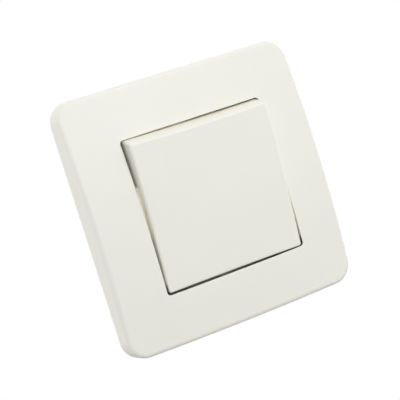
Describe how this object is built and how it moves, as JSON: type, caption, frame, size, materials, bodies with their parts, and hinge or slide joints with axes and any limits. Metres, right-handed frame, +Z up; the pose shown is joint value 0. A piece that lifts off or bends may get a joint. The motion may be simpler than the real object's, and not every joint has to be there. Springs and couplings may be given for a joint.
{
  "type": "light switch",
  "caption": "Flush-mounted two-way light switch: square domed cover frame, large single rocker, support ring with slots, changeover contacts, plug-in terminals and spreading claws.",
  "frame": {"origin": "middle of the box screw slots, on the rear face of the support ring, which lies on the wall", "axes": "+X to the right seen from the room, +Z up, +Y into the wall"},
  "size_m": [0.08, 0.0364, 0.08],
  "materials": {
    "cover_plastic": "satin gloss, cream white",
    "rocker_plastic": "satin gloss, cream white",
    "cradle_plastic": "moulded, light grey",
    "plunger_plastic": "moulded, black",
    "housing_plastic": "moulded, grey",
    "terminal_plastic": "moulded, dark grey",
    "button_plastic": "moulded, orange",
    "plated_sheet": "pressed sheet steel, zinc-plated",
    "rivet_metal": "bright",
    "spring_steel": "bright",
    "contact_brass": "stamped",
    "contact_silver": "silver contact rivet",
    "claw_steel": "zinc-plated",
    "screw_steel": "zinc-plated, cross slot"
  },
  "bodies": {
    "base": {"cover_frame": "cover_plastic", "support_ring": "plated_sheet", "ring_rivets": "rivet_metal", "mechanism_housing": "housing_plastic", "terminal_cover": "terminal_plastic", "fixed_contacts": "contact_silver", "common_bar": "contact_brass", "upper_strip": "contact_brass", "lower_strip": "contact_brass", "common_spring": "spring_steel", "upper_spring": "spring_steel", "lower_spring": "spring_steel", "left_claw_pin": "rivet_metal", "right_claw_pin": "rivet_metal"},
    "rocker": {"rocker_cap": "rocker_plastic", "rocker_cradle": "cradle_plastic", "plunger_spring": "spring_steel"},
    "plunger": {"plunger": "plunger_plastic"},
    "lever": {"contact_lever": "contact_brass", "moving_contacts": "contact_silver"},
    "common_release": {"common_button": "button_plastic"},
    "upper_release": {"upper_button": "button_plastic"},
    "lower_release": {"lower_button": "button_plastic"},
    "left_spreader": {"left_claw": "claw_steel"},
    "right_spreader": {"right_claw": "claw_steel"},
    "left_tightener": {"left_claw_screw": "screw_steel"},
    "right_tightener": {"right_claw_screw": "screw_steel"}
  },
  "joints": [
    {"name": "rocker_hinge", "type": "hinge", "parent": "base", "child": "rocker", "pos_m": [0, -0.0022, 0], "axis": [1, 0, 0], "range_deg": [-10, 0]},
    {"name": "plunger_slide", "type": "slide", "parent": "rocker", "child": "plunger", "axis": [0, -0.9962, -0.0872], "range_m": [0, 0.0008], "stiffness_N_per_m": 300, "springref_m": -0.001, "deforming": ["plunger_spring"]},
    {"name": "lever_hinge", "type": "hinge", "parent": "base", "child": "lever", "pos_m": [0, 0.0096, 0], "axis": [1, 0, 0], "range_deg": [0, 16.8]},
    {"name": "common_release_slide", "type": "slide", "parent": "base", "child": "common_release", "axis": [0, -1, 0], "range_m": [0, 0.0014], "stiffness_N_per_m": 400, "springref_m": -0.0005, "deforming": ["common_spring"]},
    {"name": "upper_release_slide", "type": "slide", "parent": "base", "child": "upper_release", "axis": [0, -1, 0], "range_m": [0, 0.0014], "stiffness_N_per_m": 400, "springref_m": -0.0005, "deforming": ["upper_spring"]},
    {"name": "lower_release_slide", "type": "slide", "parent": "base", "child": "lower_release", "axis": [0, -1, 0], "range_m": [0, 0.0014], "stiffness_N_per_m": 400, "springref_m": -0.0005, "deforming": ["lower_spring"]},
    {"name": "left_screw_turn", "type": "hinge", "parent": "base", "child": "left_tightener", "pos_m": [-0.0233, 0, 0], "axis": [0, 1, 0], "range_deg": [0, 650]},
    {"name": "right_screw_turn", "type": "hinge", "parent": "base", "child": "right_tightener", "pos_m": [0.0233, 0, 0], "axis": [0, 1, 0], "range_deg": [0, 650]},
    {"name": "left_claw_hinge", "type": "hinge", "parent": "base", "child": "left_spreader", "pos_m": [-0.0206, 0.005, 0], "axis": [0, 0, 1], "range_deg": [0, 15]},
    {"name": "right_claw_hinge", "type": "hinge", "parent": "base", "child": "right_spreader", "pos_m": [0.0206, 0.005, 0], "axis": [0, 0, 1], "range_deg": [-15, 0]}
  ],
  "couplings": [
    {"joint": "lever_hinge", "follows": "rocker_hinge", "ratio": -1.68},
    {"joint": "left_claw_hinge", "follows": "left_screw_turn", "ratio": 0.023},
    {"joint": "right_claw_hinge", "follows": "right_screw_turn", "ratio": -0.023}
  ]
}
